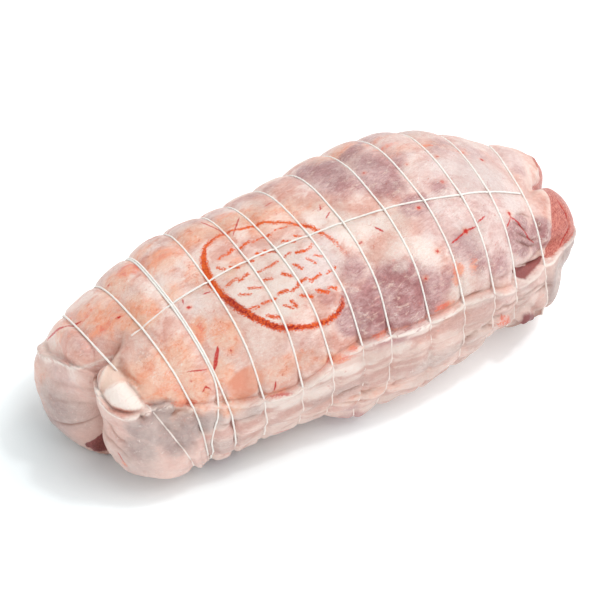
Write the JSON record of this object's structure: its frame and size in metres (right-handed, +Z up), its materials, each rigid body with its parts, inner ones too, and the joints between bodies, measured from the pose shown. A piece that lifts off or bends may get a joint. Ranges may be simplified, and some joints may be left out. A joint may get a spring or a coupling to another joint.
{
  "type": "boned and rolled leg of lamb",
  "caption": "Raw boned leg of lamb rolled into a blunt roast and held by string ties round it, with one string running lengthwise along the top.",
  "frame": {"origin": "middle of the underside of the outline, on the surface that the roll lies on", "axes": "+X along the roll towards the thick cut end, +Y to the far side, +Z up"},
  "size_m": [0.2926, 0.1297, 0.1105],
  "materials": {
    "meat": "moist raw fat and membrane over lean meat",
    "string": "matt white twine"
  },
  "bodies": {
    "root": {"leg_meat": "meat", "tie_01": "string", "tie_02": "string", "tie_03": "string", "tie_04": "string", "tie_05": "string", "tie_06": "string", "tie_07": "string", "tie_08": "string", "tie_09": "string", "tie_10": "string", "tie_11": "string", "tie_12": "string", "tie_13": "string", "tie_14": "string", "long_tie": "string"}
  },
  "joints": []
}
